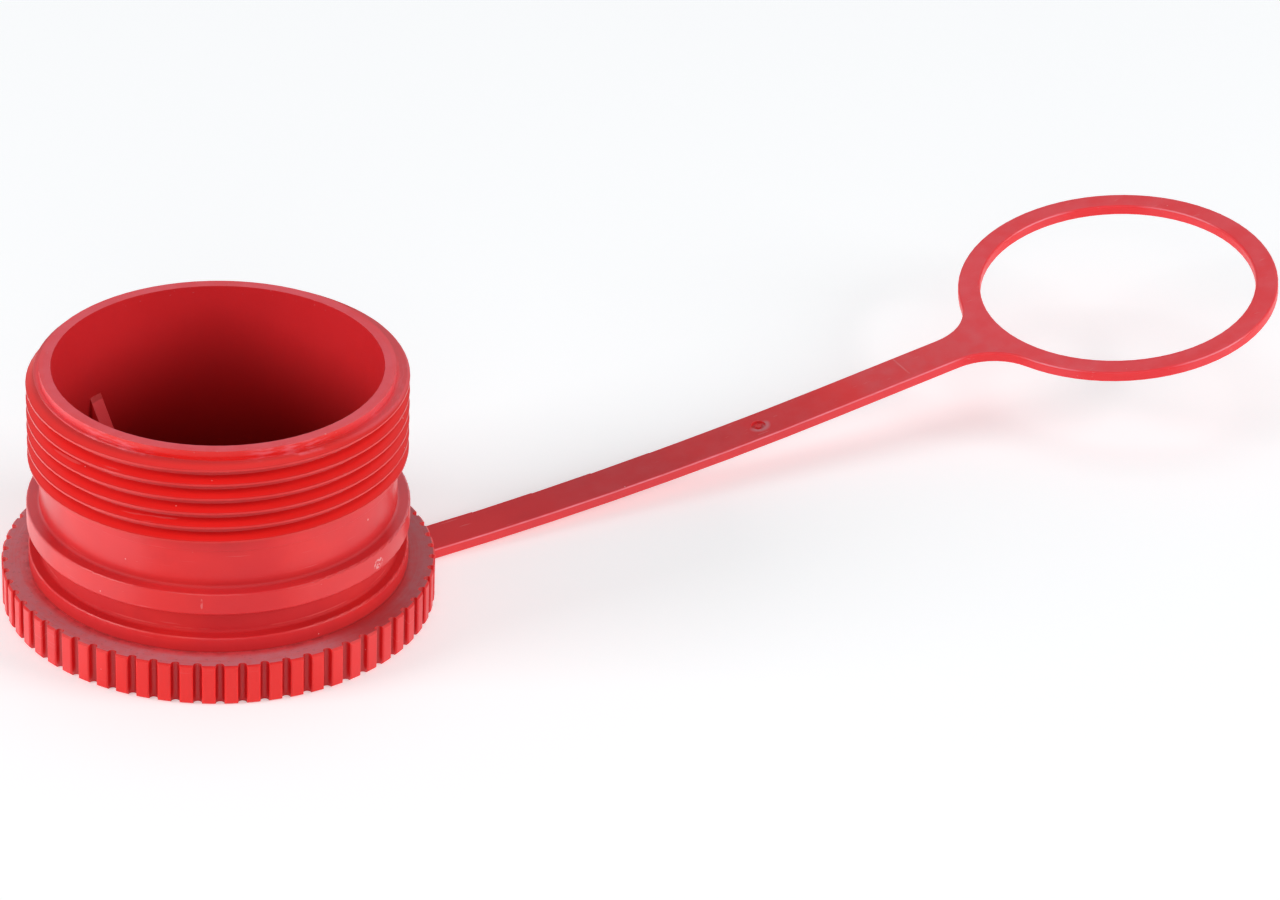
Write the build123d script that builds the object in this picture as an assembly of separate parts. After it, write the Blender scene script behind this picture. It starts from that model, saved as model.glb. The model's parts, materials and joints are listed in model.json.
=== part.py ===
from build123d import *
import math
import os

# One-piece moulded protection plug with an outside thread and a tether, in mm.
# Origin: on the plug's axis in the plane of its closed base. +Z towards the mouth, +X along the tether.

# Thread: ISO metric, right hand
THREAD_DIAMETER = 48.0
THREAD_PITCH = 2.0
THREAD_DEPTH = 0.6134 * THREAD_PITCH
THREAD_CREST = THREAD_PITCH / 8
THREAD_FLANK_ANGLE = 30.0
THREAD_START_ANGLE = -32.0
CUTTER_CLEARANCE = 0.1

# Heights of the outside steps, from the base up
FLANGE_HEIGHT = 5.5
SEAT_HEIGHT = 2.5
SEAL_GROOVE_WIDTH = 2.9
BAND_WIDTH = 3.0
NECK_LENGTH = 5.2
ROOT_LAND = 1.5
THREAD_LENGTH = 11.35
LEAD_LENGTH = 1.0

# Radii of the outside steps
THREAD_RADIUS = THREAD_DIAMETER / 2
ROOT_RADIUS = THREAD_RADIUS - THREAD_DEPTH
LAND_RADIUS = ROOT_RADIUS - 0.05
NECK_RADIUS = LAND_RADIUS - 0.1
BAND_RADIUS = THREAD_RADIUS + 0.3
SEAT_RADIUS = THREAD_RADIUS + 1.0
FLANGE_RADIUS = SEAT_RADIUS + 2.6
LEAD_RADIUS = ROOT_RADIUS - 0.47
EDGE_ROUND = 0.25
CORNER_ROUND = 0.4

# Grip teeth round the flange
TOOTH_COUNT = 62
TOOTH_PITCH_SHARE = 0.19
TOOTH_GROOVE_DEPTH = 0.85
TOOTH_CORNER = 0.25
TOOTH_PHASE = 0.65
TOOTH_BEVEL = 0.25

# Cup inside
WALL_THICKNESS = 1.92
MOUTH_RADIUS = ROOT_RADIUS - WALL_THICKNESS
BASE_THICKNESS = 2.5
DRAFT_ANGLE = 0.5
FLOOR_ROUND = 1.2

# Gussets between the floor and the wall of the cup
GUSSET_COUNT = 3
GUSSET_THICKNESS = 2.0
GUSSET_TOP = 21.2
GUSSET_SLOPE = 63.5

# Tether: a flat strap which rises a little from the flange to its ring
TETHER_WIDTH = 5.7
TETHER_THICKNESS = 1.4
TETHER_EDGE_ROUND = 0.35
TETHER_OFFSET = -3.0
TETHER_BASE_GAP = 0.08
TETHER_ROOT_RISE = 2.5
TETHER_RING_RISE = 8.7
TETHER_ROLL = 2.2
TETHER_ROOT_DEPTH = 1.8
BEND_RADIUS = 580.0
RING_CENTRE = 136.6
RING_BORE_RADIUS = 19.05
RING_WIDTH = 3.1
RING_RADIUS = RING_BORE_RADIUS + RING_WIDTH
RING_NECK_ROUND = 8.0
NECK_PLATE_LENGTH = RING_RADIUS + RING_NECK_ROUND + TETHER_WIDTH

# Gate mark in the strap's top face
GATE_DISTANCE = 51.2
GATE_RADIUS = 1.0
GATE_DEPTH = 0.3
NIB_RADIUS = 0.4
NIB_HEIGHT = 0.2

# Levels that follow from the heights
SEAT_TOP = FLANGE_HEIGHT + SEAT_HEIGHT
GROOVE_TOP = SEAT_TOP + SEAL_GROOVE_WIDTH
BAND_TOP = GROOVE_TOP + BAND_WIDTH
NECK_TOP = BAND_TOP + NECK_LENGTH
THREAD_BOTTOM = NECK_TOP + ROOT_LAND
THREAD_TOP = THREAD_BOTTOM + THREAD_LENGTH
RIM_TOP = THREAD_TOP + LEAD_LENGTH


def turned(points, rounds=()):
    """Solid of revolution of a half profile of (radius, height) points.

    Each of the rounds is a list of profile corners and the radius they get.
    """
    with BuildPart() as solid:
        with BuildSketch(Plane.XZ) as half:
            with BuildLine():
                Polyline(*points, close=True)
            make_face()
            for corners, radius in rounds:
                fillet([v for v in half.vertices() if is_corner(v, corners)], radius)
        revolve(axis=Axis.Z)
    return solid.part


def is_corner(vertex, corners):
    """True where a vertex of a half profile is one of the (radius, height) corners."""
    return any(math.hypot(vertex.X - r, vertex.Y + vertex.Z - z) < 1e-4 for r, z in corners)


def plug_body():
    """Solid turned shape below the thread: seat, seal groove, band, neck and land."""
    seat = (SEAT_RADIUS, SEAT_TOP)
    seat_foot = (NECK_RADIUS, SEAT_TOP)
    groove_top = (NECK_RADIUS, GROOVE_TOP)
    band_low = (BAND_RADIUS, GROOVE_TOP)
    band_high = (BAND_RADIUS, BAND_TOP)
    neck_foot = (NECK_RADIUS, BAND_TOP)
    profile = [
        (0, 0),
        (SEAT_RADIUS, 0),
        seat,
        seat_foot,
        groove_top,
        band_low,
        band_high,
        neck_foot,
        (NECK_RADIUS, NECK_TOP),
        (LAND_RADIUS, NECK_TOP),
        (LAND_RADIUS, THREAD_BOTTOM),
        (0, THREAD_BOTTOM),
    ]
    outer = [seat, band_low, band_high]
    inner = [seat_foot, groove_top, neck_foot]
    return turned(profile, [(outer, EDGE_ROUND), (inner, CORNER_ROUND)])


def thread_groove(start, height):
    """V groove with a flat bottom, swept along the helix from the level start upwards."""
    flank = math.tan(math.radians(THREAD_FLANK_ANGLE))
    crest_gap = THREAD_PITCH - THREAD_CREST
    out = THREAD_RADIUS + CUTTER_CLEARANCE
    half_out = crest_gap / 2 + CUTTER_CLEARANCE * flank
    half_root = crest_gap / 2 - THREAD_DEPTH * flank
    path = Helix(pitch=THREAD_PITCH, height=height, radius=THREAD_RADIUS)
    profile = Polyline(
        (out, 0, -half_out),
        (ROOT_RADIUS, 0, -half_root),
        (ROOT_RADIUS, 0, half_root),
        (out, 0, half_out),
        close=True,
    )
    groove = sweep(Face(Wire(profile.edges())), path=path, is_frenet=True)
    return Pos(0, 0, start) * Rot(0, 0, THREAD_START_ANGLE) * groove


def threaded_end():
    """Threaded length with its plain lead: a bar threaded beyond both ends, trimmed to a turned outline."""
    start = THREAD_BOTTOM - 2 * THREAD_PITCH
    height = RIM_TOP - THREAD_BOTTOM + 4 * THREAD_PITCH
    low = (Align.CENTER, Align.CENTER, Align.MIN)
    bar = Cylinder(THREAD_RADIUS, height + 4 * THREAD_PITCH, align=low)
    threaded = Pos(0, 0, start - 2 * THREAD_PITCH) * bar - thread_groove(start, height)
    wide = THREAD_RADIUS + THREAD_PITCH
    limit = turned([
        (0, THREAD_BOTTOM),
        (wide, THREAD_BOTTOM),
        (wide, THREAD_TOP),
        (LEAD_RADIUS, THREAD_TOP),
        (LEAD_RADIUS, RIM_TOP),
        (0, RIM_TOP),
    ])
    return threaded & limit


def polar(radius, degrees):
    """Point of the XY plane at a radius and an angle."""
    return (radius * math.cos(math.radians(degrees)), radius * math.sin(math.radians(degrees)))


def tooth_edges(centre, pitch):
    """Edges of one grip groove and the tooth after it, as tangent arcs."""
    groove = TOOTH_PITCH_SHARE * 2 * math.pi * FLANGE_RADIUS / TOOTH_COUNT
    middle = FLANGE_RADIUS - TOOTH_GROOVE_DEPTH + groove
    corner = FLANGE_RADIUS - TOOTH_CORNER
    reach = groove + TOOTH_CORNER
    turn = math.degrees(math.acos((corner**2 + middle**2 - reach**2) / (2 * corner * middle)))
    groove_centre = Vector(*polar(middle, centre))
    arcs = []
    for side in (-1, 1):
        round_centre = Vector(*polar(corner, centre + side * turn))
        tip = Vector(*polar(FLANGE_RADIUS, centre + side * turn))
        low = groove_centre + (round_centre - groove_centre).normalized() * groove
        outward = (tip - round_centre).normalized() + (low - round_centre).normalized()
        arcs.append((tip, round_centre + outward.normalized() * TOOTH_CORNER, low))
    (tip_a, mid_a, low_a), (tip_b, mid_b, low_b) = arcs
    bottom = polar(middle - groove, centre)
    crown = polar(FLANGE_RADIUS, centre + pitch / 2)
    next_tip = polar(FLANGE_RADIUS, centre + pitch - turn)
    return [
        ThreePointArc(tip_a, mid_a, low_a),
        ThreePointArc(low_a, bottom, low_b),
        ThreePointArc(low_b, mid_b, tip_b),
        ThreePointArc(tip_b, crown, next_tip),
    ]


def toothed_flange():
    """Disc with round-bottomed grip grooves and rounded teeth, bevelled above and below."""
    pitch = 360 / TOOTH_COUNT
    edges = []
    for tooth in range(TOOTH_COUNT):
        edges += tooth_edges(TOOTH_PHASE + tooth * pitch, pitch)
    disc = extrude(make_face(edges), amount=FLANGE_HEIGHT)
    blank = Cylinder(FLANGE_RADIUS, FLANGE_HEIGHT, align=(Align.CENTER, Align.CENTER, Align.MIN))
    limit = chamfer(blank.edges().filter_by(GeomType.CIRCLE), TOOTH_BEVEL)
    return disc & limit


def cup_inside():
    """Space inside the cup: drafted wall and rounded floor corner."""
    depth = RIM_TOP - BASE_THICKNESS
    floor_corner = (MOUTH_RADIUS - depth * math.tan(math.radians(DRAFT_ANGLE)), BASE_THICKNESS)
    profile = [(0, BASE_THICKNESS), floor_corner, (MOUTH_RADIUS, RIM_TOP), (0, RIM_TOP)]
    return turned(profile, [([floor_corner], FLOOR_ROUND)])


def gussets():
    """Three-cornered ribs between floor and wall, the first in line with the tether's root."""
    drop = GUSSET_TOP - BASE_THICKNESS
    reach = drop / math.tan(math.radians(GUSSET_SLOPE))
    inner = MOUTH_RADIUS - reach
    wall = (MOUTH_RADIUS + NECK_RADIUS) / 2
    below = BASE_THICKNESS / 2
    with BuildPart() as rib:
        with BuildSketch(Plane.XZ):
            with BuildLine():
                Polyline(
                    (inner, below),
                    (wall, below),
                    (wall, GUSSET_TOP),
                    (MOUTH_RADIUS, GUSSET_TOP),
                    (inner, BASE_THICKNESS),
                    close=True,
                )
            make_face()
        extrude(amount=GUSSET_THICKNESS / 2, both=True)
    first = math.degrees(math.atan2(TETHER_OFFSET, FLANGE_RADIUS))
    return [Rot(0, 0, first + 360 / GUSSET_COUNT * k) * rib.part for k in range(GUSSET_COUNT)]


def tether_path():
    """Centre line of the strap in its own XZ plane: straight root, long arc, straight run to the ring."""
    first = math.radians(TETHER_ROOT_RISE)
    last = math.radians(TETHER_RING_RISE)
    root = (-TETHER_ROOT_DEPTH * math.cos(first), -TETHER_ROOT_DEPTH * math.sin(first))
    centre = (-BEND_RADIUS * math.sin(first), BEND_RADIUS * math.cos(first))
    middle = (first + last) / 2

    def on_arc(angle):
        return (centre[0] + BEND_RADIUS * math.sin(angle), centre[1] - BEND_RADIUS * math.cos(angle))

    end = on_arc(last)
    run = RING_CENTRE - FLANGE_RADIUS - end[0]
    ring = (RING_CENTRE - FLANGE_RADIUS, end[1] + run * math.tan(last))
    return root, on_arc(middle), end, ring


def strap():
    """Strap of constant width with rounded upper edges, up to where the plate of the ring starts."""
    root, middle, end, ring = tether_path()
    start = (0.0, 0.0)
    rise = math.radians(TETHER_RING_RISE)
    plate = (ring[0] - NECK_PLATE_LENGTH * math.cos(rise), ring[1] - NECK_PLATE_LENGTH * math.sin(rise))
    path = [
        Line(at_height(root), at_height(start)),
        ThreePointArc(at_height(start), at_height(middle), at_height(end)),
        Line(at_height(end), at_height(plate)),
    ]
    tilt = math.radians(TETHER_ROOT_RISE)
    plane = Plane(at_height(root), x_dir=(0, 1, 0), z_dir=(math.cos(tilt), 0, math.sin(tilt)))
    with BuildPart() as band:
        with BuildSketch(plane) as section:
            Rectangle(TETHER_WIDTH, TETHER_THICKNESS)
            upper = section.vertices().sort_by(Axis.Y)[-2:]
            fillet(upper, TETHER_EDGE_ROUND)
        sweep(path=Wire(path))
    return band.part


def at_height(point):
    """A point of the tether's XZ plane as a point in space."""
    return (point[0], 0.0, point[1])


def ring_plate():
    """Flat ring with the strap's necked end, its upper edges rounded."""
    rise = math.radians(TETHER_RING_RISE)
    ring = tether_path()[3]
    along = (math.cos(rise), 0, math.sin(rise))
    upright = (-math.sin(rise), 0, math.cos(rise))
    plane = Plane(at_height(ring), x_dir=along, z_dir=upright)
    with BuildPart() as plate:
        with BuildSketch() as outline:
            Circle(RING_RADIUS)
            with Locations((-NECK_PLATE_LENGTH / 2, 0)):
                Rectangle(NECK_PLATE_LENGTH, TETHER_WIDTH)
            inner = [v for v in outline.vertices() if abs(math.hypot(v.X, v.Y) - RING_RADIUS) < 1e-3]
            fillet(inner, RING_NECK_ROUND)
            Circle(RING_BORE_RADIUS, mode=Mode.SUBTRACT)
        extrude(amount=TETHER_THICKNESS / 2, both=True)
        top = plate.faces().sort_by(Axis.Z)[-1]
        edges = [e for e in top.edges() if e.center().X > -NECK_PLATE_LENGTH + 1e-3]
        fillet(edges, TETHER_EDGE_ROUND)
    return plane * plate.part


def gate_mark():
    """Round recess with a small nib left standing in it, square to the strap's top face."""
    along = GATE_DISTANCE / BEND_RADIUS + math.sin(math.radians(TETHER_ROOT_RISE))
    angle = math.asin(along)
    centre = -BEND_RADIUS * math.sin(math.radians(TETHER_ROOT_RISE))
    height = BEND_RADIUS * (math.cos(math.radians(TETHER_ROOT_RISE)) - math.cos(angle))
    tangent = (math.cos(angle), 0, math.sin(angle))
    upright = (-math.sin(angle), 0, math.cos(angle))
    plane = Plane((centre + BEND_RADIUS * along, 0, height), x_dir=tangent, z_dir=upright)
    low = (Align.CENTER, Align.CENTER, Align.MIN)
    floor = TETHER_THICKNESS / 2 - GATE_DEPTH
    recess = Pos(0, 0, floor) * Cylinder(GATE_RADIUS, 2 * GATE_DEPTH, align=low)
    nib = Pos(0, 0, floor) * Cylinder(NIB_RADIUS, NIB_HEIGHT, align=low)
    return plane * (recess - nib)


def tether():
    """Whole tether, placed on the flange with the lowest corner of its root just above the base."""
    body = strap() + ring_plate() - gate_mark()
    roll = math.radians(TETHER_ROLL)
    roll_drop = TETHER_WIDTH / 2 * math.sin(roll)
    root_drop = TETHER_ROOT_DEPTH * math.sin(math.radians(TETHER_ROOT_RISE))
    root_height = TETHER_BASE_GAP + TETHER_THICKNESS / 2 + roll_drop + root_drop
    ring_reach, ring_height = tether_path()[3]
    yaw = math.degrees(math.atan2(ring_height * math.sin(roll), ring_reach))
    rolled = Rot(0, 0, yaw) * Rot(TETHER_ROLL, 0, 0) * body
    return Pos(FLANGE_RADIUS, TETHER_OFFSET, root_height) * rolled


def protection_cap():
    """The whole moulding as one solid."""
    shell = plug_body() + threaded_end() + toothed_flange() - cup_inside()
    return shell + gussets() + tether()


os.makedirs("parts", exist_ok=True)
cap = protection_cap()
export_step(cap, "parts/protection_cap.step")
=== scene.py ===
"""Threaded protection cap of red moulded plastic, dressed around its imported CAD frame."""

import json
import logging
import math
from dataclasses import dataclass, field
from enum import Enum
from typing import Sequence

import bmesh
import bpy
from mathutils import Matrix, Vector


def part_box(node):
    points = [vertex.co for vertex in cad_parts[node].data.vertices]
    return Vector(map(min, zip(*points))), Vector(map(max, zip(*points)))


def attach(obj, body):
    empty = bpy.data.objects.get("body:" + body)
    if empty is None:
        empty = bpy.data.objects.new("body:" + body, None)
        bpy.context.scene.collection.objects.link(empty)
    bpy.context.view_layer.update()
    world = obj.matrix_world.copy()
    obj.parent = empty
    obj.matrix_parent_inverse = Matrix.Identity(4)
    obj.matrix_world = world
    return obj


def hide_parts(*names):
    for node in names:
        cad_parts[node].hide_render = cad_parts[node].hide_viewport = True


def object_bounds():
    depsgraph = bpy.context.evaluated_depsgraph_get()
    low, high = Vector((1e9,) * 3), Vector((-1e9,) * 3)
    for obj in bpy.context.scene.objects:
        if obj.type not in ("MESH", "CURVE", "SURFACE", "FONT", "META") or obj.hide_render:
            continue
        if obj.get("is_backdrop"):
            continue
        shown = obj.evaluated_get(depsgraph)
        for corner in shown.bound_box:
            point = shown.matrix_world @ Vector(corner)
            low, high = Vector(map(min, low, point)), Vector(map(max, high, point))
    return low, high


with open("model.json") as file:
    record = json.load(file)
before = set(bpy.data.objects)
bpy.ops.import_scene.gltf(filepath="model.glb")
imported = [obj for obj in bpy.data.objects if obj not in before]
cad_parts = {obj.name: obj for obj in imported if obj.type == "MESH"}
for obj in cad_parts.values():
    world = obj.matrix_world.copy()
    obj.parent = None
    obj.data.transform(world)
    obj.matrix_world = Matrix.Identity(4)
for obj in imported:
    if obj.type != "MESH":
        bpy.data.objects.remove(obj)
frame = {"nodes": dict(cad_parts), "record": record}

LOG = logging.getLogger("protection_cap")
MM = 0.001
Rgb = tuple[float, float, float]
Point = tuple[float, float, float]
Span = tuple[float, float]
Socket = bpy.types.NodeSocket
Input = Socket | float
WHITE: Rgb = (1.0, 1.0, 1.0)


class Blend(Enum):
    """Ways in which one colour is laid over another."""

    MIX = "MIX"
    MULTIPLY = "MULTIPLY"


@dataclass(frozen=True)
class RedPlastic:
    """Moulded polyethylene: its reds, its gloss and its fine surface.

    The first reds are the plastic's own in each zone, and the bright and deep reds, the gusset's red and the
    strap's and ring's reds also serve as painted light and painted shade. The later colours are those of
    film, wear and dust, with painted sheen and painted highlights among them. The depth colour and the colour
    for the creases are painted shade that darkens what lies under them, and the flange's dark colour darkens
    both as dirt and as painted shade. Lengths are in metres.
    """

    body: Rgb = (0.76, 0.011, 0.015)
    deep: Rgb = (0.52, 0.006, 0.008)
    bright: Rgb = (0.90, 0.017, 0.013)
    lining: Rgb = (0.86, 0.033, 0.041)
    gusset: Rgb = (0.86, 0.050, 0.065)
    depth: Rgb = (0.24, 0.10, 0.05)
    shaded_crease: Rgb = (0.86, 1.00, 1.00)
    shaded_strap_red: Rgb = (0.66, 0.012, 0.028)
    lit_ring_red: Rgb = (0.93, 0.020, 0.028)
    veil_and_sheen: Rgb = (0.65, 0.205, 0.236)
    bloom_and_sheen: Rgb = (0.95, 0.165, 0.205)
    painted_highlight: Rgb = (0.96, 0.230, 0.280)
    grime_and_shade: Rgb = (0.70, 0.60, 0.60)
    edge: Rgb = (0.92, 0.150, 0.140)
    scuff: Rgb = (0.85, 0.400, 0.400)
    dust: Rgb = (0.92, 0.700, 0.680)
    roughness: float = 0.34
    matt_roughness: float = 0.55
    crease_roughness: float = 0.75
    tooth_roughness: float = 0.46
    strap_roughness: float = 0.42
    roughness_drift: float = 0.16
    scuff_roughness: float = 0.20
    ior: float = 1.50
    glow: float = 0.10
    glow_depth: float = 0.0010
    glow_reach: Point = (1.0, 0.25, 0.15)
    edge_reach: float = 0.00006
    grain_depth: float = 0.000005
    wave_depth: float = 0.000012


@dataclass(frozen=True)
class Tint:
    """How strongly the reds show in their zones, from 0 to 1.

    Thread, tooth faces, gusset and ring are lightened as painted light, and root, tooth grooves and the
    strap's top are darkened as painted shade. The crests are made darker and the inside takes the lining's
    red.
    """

    thread: float = 0.90
    root: float = 0.65
    crest: float = 0.35
    tooth_groove: float = 0.75
    tooth_face: float = 0.75
    tooth_aside: float = 0.25
    inside: float = 0.80
    gusset: float = 0.80
    strap: float = 0.40
    ring: float = 0.80


@dataclass(frozen=True)
class Film:
    """How thickly the greyish film and the pale rubbed look lie on each flat top, from 0 to 1. Both are
    partly real film and wear and partly painted sheen.

    The amounts for the sides, for the ledge and for the ring are painted sheen, and the flange's dim stretch
    takes painted sheen away. A name that ends in cloud, fine or turned is what an uneven pattern adds at its
    strongest.
    """

    flange: float = 0.62
    flange_fine: float = 0.20
    flange_turned: float = 0.15
    flange_inner: float = 0.25
    flange_outer: float = 0.92
    flange_side_sheen: float = 0.95
    flange_dim_sheen: float = 0.55
    neck: float = 0.14
    neck_cloud: float = 0.16
    strap: float = 0.05
    strap_cloud: float = 0.08
    ledge: float = 0.08
    ledge_side_sheen: float = 0.50
    gate: float = 0.80
    rim: float = 0.38
    rim_cloud: float = 0.20
    lead_side_sheen: float = 0.45
    ring: float = 0.12
    ring_near: float = 0.09
    ring_cloud: float = 0.14
    tether_side_sheen: float = 0.12


@dataclass(frozen=True)
class Wear:
    """How strongly soiling, painted shade, worn edges, painted highlights and marks show, from 0 to 1.

    The amounts for the flange's dark side and the seat's foot are painted shade, those for the tether's edge
    and for the band, seat and groove lines are painted highlights, and the edge amounts are wear together
    with painted highlight. What is called least or steady shows everywhere, and the rest comes and goes.
    """

    side_shade: float = 0.90
    grime_spots: float = 0.50
    shaded_seat_foot: float = 0.90
    edge: float = 0.35
    edge_least: float = 0.35
    highlight_least: float = 0.10
    painted_highlight: float = 0.80
    highlight_steady: float = 0.75
    band_line: float = 0.30
    seat_line: float = 0.40
    groove_line: float = 0.35
    dust: float = 0.55


@dataclass(frozen=True)
class Patches:
    """Uneven patches made from noise.

    A patch starts where the noise passes low and is at its strongest, top, where it passes high. Scale is in
    cells to a millimetre and detail in octaves. A turned pattern runs round the cup and has its scales round
    and across the turn. A stretched one has its scale along each axis.
    """

    scale: float
    detail: float
    low: float
    high: float
    top: float = 1.0
    turned: Span | None = None
    stretch: Point | None = None


class Mottle(Enum):
    """The uneven patterns of the finish."""

    BRIGHTER = Patches(0.09, 3.0, 0.42, 0.72, 0.50)
    DEEPER = Patches(0.16, 4.0, 0.50, 0.78, 0.25)
    CLOUD = Patches(0.35, 5.0, 0.30, 0.70)
    FINE_FILM = Patches(0.90, 4.0, 0.32, 0.68)
    TURNED_FILM = Patches(1.0, 2.0, 0.35, 0.65, turned=(0.12, 5.0))
    CORNER_GRIME = Patches(0.70, 4.0, 0.40, 0.62, 0.80)
    GRIME_SPOTS = Patches(1.80, 3.0, 0.60, 0.68)
    RAGGED = Patches(1.0, 4.0, 0.40, 0.64, 0.62, turned=(0.5, 2.5))
    WORN_CREST = Patches(0.50, 3.0, 0.30, 0.70, 0.06)
    WORN_EDGE = Patches(0.55, 4.0, 0.35, 0.62)
    SHINING_EDGE = Patches(0.40, 3.0, 0.35, 0.65, 0.25)
    EDGE_LINE = Patches(0.16, 3.0, 0.40, 0.62)
    HAIRLINES = Patches(1.0, 2.0, 0.70, 0.76, 0.16, turned=(0.10, 5.0))
    SCRATCHES = Patches(1.0, 2.0, 0.68, 0.76, 0.22, stretch=(0.12, 2.8, 2.8))
    CHIPPED_LEAD = Patches(2.60, 3.0, 0.68, 0.74, 0.30)
    WITNESS = Patches(0.90, 2.0, 0.30, 0.50, 0.26)


@dataclass(frozen=True)
class Chafe:
    """A small pale rubbed place, with flecks in cells to a millimetre and an amount from 0 to 1.

    Its middle and its half sizes are in millimetres.
    """

    middle: Point
    reach: Point
    flecks: float
    amount: float


@dataclass(frozen=True)
class Specks:
    """Scattered round specks.

    Scale is in cells to a millimetre, size is a speck's radius as a share of its cell, and share is that of
    the cells which have one.
    """

    scale: float
    size: float
    share: float


@dataclass(frozen=True)
class Layer:
    """A colour, how much of it is laid on and in which way."""

    colour: Rgb
    amount: Input
    blend: Blend = Blend.MIX


@dataclass(frozen=True)
class TurnedZone:
    """A ring-shaped space round the cup's axis, between two radii and two levels in millimetres."""

    inner: float
    outer: float
    bottom: float
    top: float

    def holds(self, place: Vector) -> bool:
        """Whether a place in metres lies in the zone."""
        radius, level = math.hypot(place.x, place.y) / MM, place.z / MM
        return self.inner < radius < self.outer and self.bottom < level < self.top


@dataclass(frozen=True)
class Glare:
    """A bright stretch of floor that shows in the gloss.

    It rises from the start bearing to full strength and then falls to the kept share of it at the end. The
    bearings are in degrees from the camera's side.
    """

    start: float
    full: float
    end: float
    strength: float
    kept: float


@dataclass(frozen=True)
class Softbox:
    """A square studio lamp, placed by angles in degrees from the camera's side of the cap."""

    name: str
    bearing: float
    rise: float
    distance: float
    width: float
    power: float


class NodeSheet:
    """Short names for the shader nodes of one material or world."""

    def __init__(self, owner: bpy.types.Material | bpy.types.World) -> None:
        """Empty the owner's node tree.

        Args:
            owner: The material or world whose nodes are written.
        """
        owner.use_nodes = True
        self.tree = owner.node_tree
        self.tree.nodes.clear()

    def node(self, kind: str, **settings: object) -> bpy.types.Node:
        """Add one node and set its properties.

        Args:
            kind: The node's Blender type name.
            settings: Properties of the node.

        Returns:
            The new node.
        """
        made = self.tree.nodes.new(kind)
        for name, value in settings.items():
            setattr(made, name, value)
        return made

    def put(self, socket: Socket, value: Input | Sequence[float]) -> None:
        """Link a socket to an output, or set its value.

        Args:
            socket: The input that is filled.
            value: An output, a number, or a colour or vector.
        """
        if isinstance(value, bpy.types.NodeSocket):
            self.tree.links.new(value, socket)
        elif isinstance(value, (int, float)):
            socket.default_value = value
        else:
            given = tuple(value)
            socket.default_value = given if len(given) == len(socket.default_value) else (*given, 1.0)

    def math(self, operation: str, *values: Input, clamp: bool = False) -> Socket:
        """Work out a number from others.

        Args:
            operation: The Math node's operation.
            values: Its inputs, in order.
            clamp: Whether the result is held between 0 and 1.

        Returns:
            The result's socket.
        """
        made = self.node("ShaderNodeMath", operation=operation, use_clamp=clamp)
        for socket, value in zip(made.inputs, values):
            self.put(socket, value)
        return made.outputs[0]

    def vector(self, operation: str, *values: Socket | Point) -> bpy.types.Node:
        """Work out a vector, or a number, from vectors.

        Args:
            operation: The Vector Math node's operation.
            values: Its inputs, in order.

        Returns:
            The node, whose output is its first or the one named Value.
        """
        made = self.node("ShaderNodeVectorMath", operation=operation)
        for socket, value in zip(made.inputs, values):
            self.put(socket, value)
        return made

    def step(self, value: Input, low: float, high: float, top: float = 1.0) -> Socket:
        """Rise smoothly from 0 at low to top at high.

        Args:
            value: The number that is tested.
            low: Where the rise starts, above high for a fall.
            high: Where the rise ends.
            top: The value past high.

        Returns:
            The mask's socket.
        """
        made = self.node("ShaderNodeMapRange", interpolation_type="SMOOTHSTEP")
        start, end, begin, finish = (low, high, 0.0, top) if low < high else (high, low, top, 0.0)
        for socket, number in zip(made.inputs, (value, start, end, begin, finish)):
            self.put(socket, number)
        return made.outputs[0]

    def band(self, value: Input, low: float, high: float, soft: float) -> Socket:
        """Mask of the values between two others.

        Args:
            value: The number that is tested.
            low: The band's lower edge.
            high: The band's upper edge.
            soft: Half the width over which each edge fades.

        Returns:
            The mask's socket.
        """
        rise = self.step(value, low - soft, low + soft)
        fall = self.step(value, high + soft, high - soft)
        return self.both(rise, fall)

    def fold(self, operation: str, values: Sequence[Input]) -> Input:
        """Work one operation through several values.

        Args:
            operation: The Math node's operation.
            values: Sockets or numbers, from the first to the last.

        Returns:
            The last result.
        """
        result = values[0]
        for value in values[1:]:
            result = self.math(operation, result, value)
        return result

    def both(self, *masks: Input) -> Input:
        """Product of several masks or numbers."""
        return self.fold("MULTIPLY", masks)

    def either(self, *masks: Input) -> Input:
        """The strongest of several masks."""
        return self.fold("MAXIMUM", masks)

    def plus(self, *numbers: Input) -> Input:
        """Sum of several numbers."""
        return self.fold("ADD", numbers)

    def minus(self, number: Input, less: Input) -> Socket:
        """One number less another."""
        return self.math("SUBTRACT", number, less)

    def rest(self, mask: Input) -> Socket:
        """All that a mask leaves out."""
        return self.minus(1.0, mask)

    def length(self, first: Input, second: Input) -> Socket:
        """Length of a line from its two parts at right angles."""
        return self.math("SQRT", self.plus(self.both(first, first), self.both(second, second)))

    def paint(self, under: Socket | Rgb, over: Socket | Rgb, amount: Input,
              blend: Blend = Blend.MIX) -> Socket:
        """Lay one colour over another.

        Args:
            under: The colour below.
            over: The colour above.
            amount: How much of it shows.
            blend: How they join.

        Returns:
            The joined colour's socket.
        """
        made = self.node("ShaderNodeMix", data_type="RGBA", blend_type=blend.value)
        self.put(made.inputs[0], amount)
        self.put(made.inputs[6], under)
        self.put(made.inputs[7], over)
        return made.outputs[2]


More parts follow.
